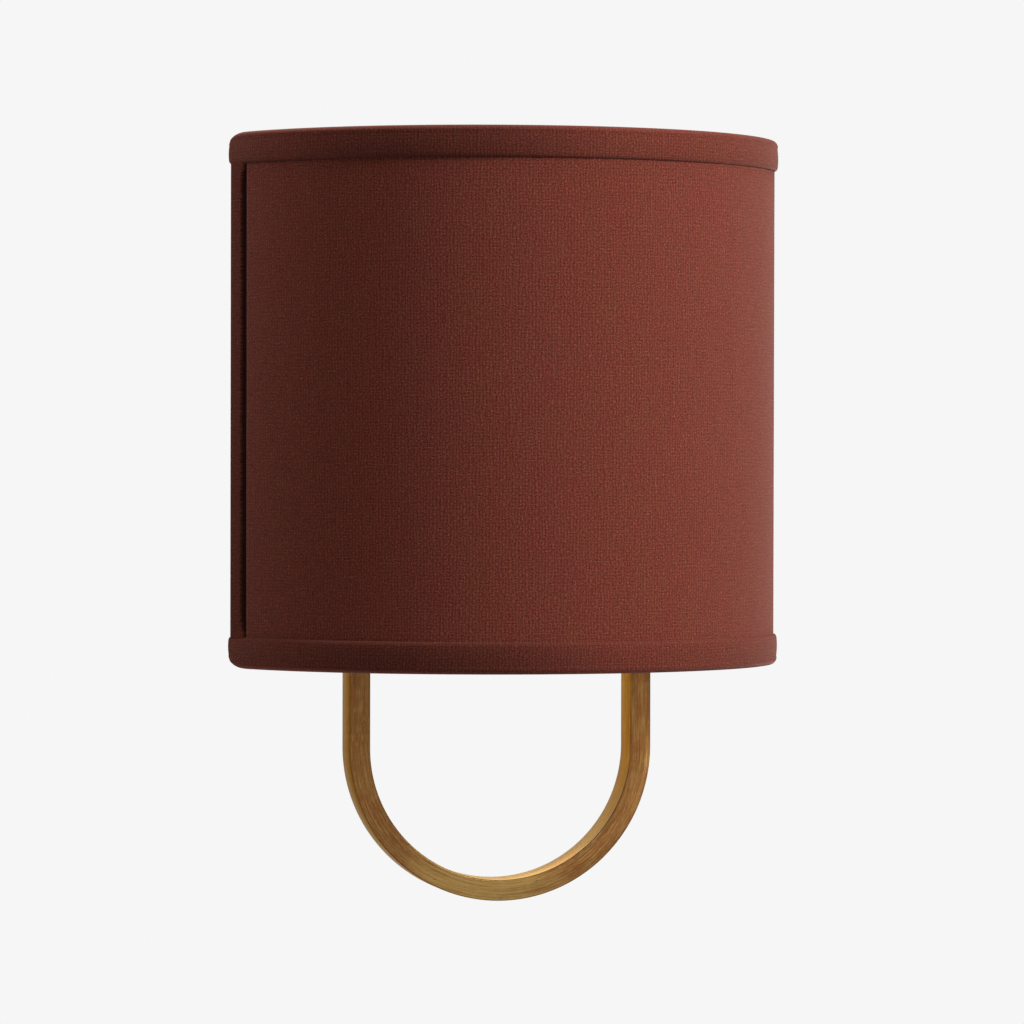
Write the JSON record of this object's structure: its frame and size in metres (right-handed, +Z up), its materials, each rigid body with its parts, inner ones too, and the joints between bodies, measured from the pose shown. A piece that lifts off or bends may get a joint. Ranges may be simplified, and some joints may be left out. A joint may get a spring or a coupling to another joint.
{
  "type": "wall light",
  "caption": "Wall light with a shallow bowed linen half shade, taped edges, and a U of flat brushed brass bar that hangs below it; candle lamps behind the shade.",
  "frame": {"origin": "middle of the two box screw slots, in the wall plane, level with the middle of the shade's height", "axes": "+Z up, +Y into the wall, -Y into the room, +X to the right of someone who faces the light"},
  "size_m": [0.254, 0.1167, 0.3464],
  "materials": {
    "red_linen": "plain woven linen with slubs, matt",
    "liner_white": "white styrene film, matt",
    "white_wire": "white enamel on steel",
    "antique_brass": "brushed along the bar and darkened, lacquered",
    "plain_brass": "bright rolled brass",
    "zinc_steel": "zinc plated",
    "white_pan": "white enamel",
    "black_moulding": "black phenolic, dull",
    "candle_card": "ivory card tube, satin",
    "clear_glass": "clear thin glass",
    "filament_phosphor": "yellow phosphor coat",
    "lead_covering": "white flexible covering",
    "earth_green": "green, semi matt",
    "block_plastic": "natural moulded plastic",
    "bumper_rubber": "black rubber, matt"
  },
  "bodies": {
    "wall_fitting": {"mounting_bracket": "zinc_steel", "bracket_studs": "zinc_steel", "stud_nuts": "zinc_steel", "earth_screw": "earth_green", "earth_lead": "earth_green", "backplate": "white_pan", "u_frame": "antique_brass", "u_frame_screws": "zinc_steel", "u_frame_washers": "zinc_steel", "shade_posts": "antique_brass", "post_nuts": "zinc_steel", "lamp_yoke": "white_pan", "yoke_rivets": "zinc_steel", "lamp_nipples": "zinc_steel", "nipple_nuts": "zinc_steel", "lead_bushes": "black_moulding", "terminal_block": "block_plastic", "terminal_screws": "zinc_steel", "lead_left": "lead_covering", "lead_right": "lead_covering", "lampholder_left": "black_moulding", "screw_shell_left": "plain_brass", "centre_contact_left": "plain_brass", "candle_sleeve_left": "candle_card", "lampholder_right": "black_moulding", "screw_shell_right": "plain_brass", "centre_contact_right": "plain_brass", "candle_sleeve_right": "candle_card"},
    "shade": {"shade_skin": "red_linen", "shade_liner": "liner_white", "top_ring": "white_wire", "bottom_ring": "white_wire", "side_upright_left": "white_wire", "side_upright_right": "white_wire", "top_trim": "red_linen", "bottom_trim": "red_linen", "side_trim_left": "red_linen", "side_trim_right": "red_linen", "shade_strap": "white_wire", "rest_tab_left": "white_wire", "rest_tab_right": "white_wire", "rest_bumpers": "bumper_rubber"},
    "bulb_left": {"bulb_cap_left": "plain_brass", "bulb_tip_left": "black_moulding", "bulb_glass_left": "clear_glass", "bulb_stem_left": "clear_glass", "bulb_supports_left": "plain_brass", "bulb_filaments_left": "filament_phosphor"},
    "bulb_right": {"bulb_cap_right": "plain_brass", "bulb_tip_right": "black_moulding", "bulb_glass_right": "clear_glass", "bulb_stem_right": "clear_glass", "bulb_supports_right": "plain_brass", "bulb_filaments_right": "filament_phosphor"},
    "cap_nut_upper": {"cap_nut_upper": "antique_brass"},
    "cap_nut_lower": {"cap_nut_lower": "antique_brass"}
  },
  "joints": [
    {"name": "shade_lift", "type": "slide", "parent": "wall_fitting", "child": "shade", "axis": [0, 0, 1], "range_m": [0, 0.26]},
    {"name": "bulb_left_turn", "type": "hinge", "parent": "wall_fitting", "child": "bulb_left", "pos_m": [-0.042, -0.06005, 0], "axis": [0, 0, 1], "range_deg": [0, 1440]},
    {"name": "bulb_right_turn", "type": "hinge", "parent": "wall_fitting", "child": "bulb_right", "pos_m": [0.042, -0.06005, 0], "axis": [0, 0, 1], "range_deg": [0, 1440]},
    {"name": "cap_nut_upper_turn", "type": "hinge", "parent": "wall_fitting", "child": "cap_nut_upper", "pos_m": [0, -0.024, 0.058], "axis": [0, -1, 0], "continuous": true},
    {"name": "cap_nut_lower_turn", "type": "hinge", "parent": "wall_fitting", "child": "cap_nut_lower", "pos_m": [0, -0.024, -0.058], "axis": [0, -1, 0], "continuous": true}
  ]
}
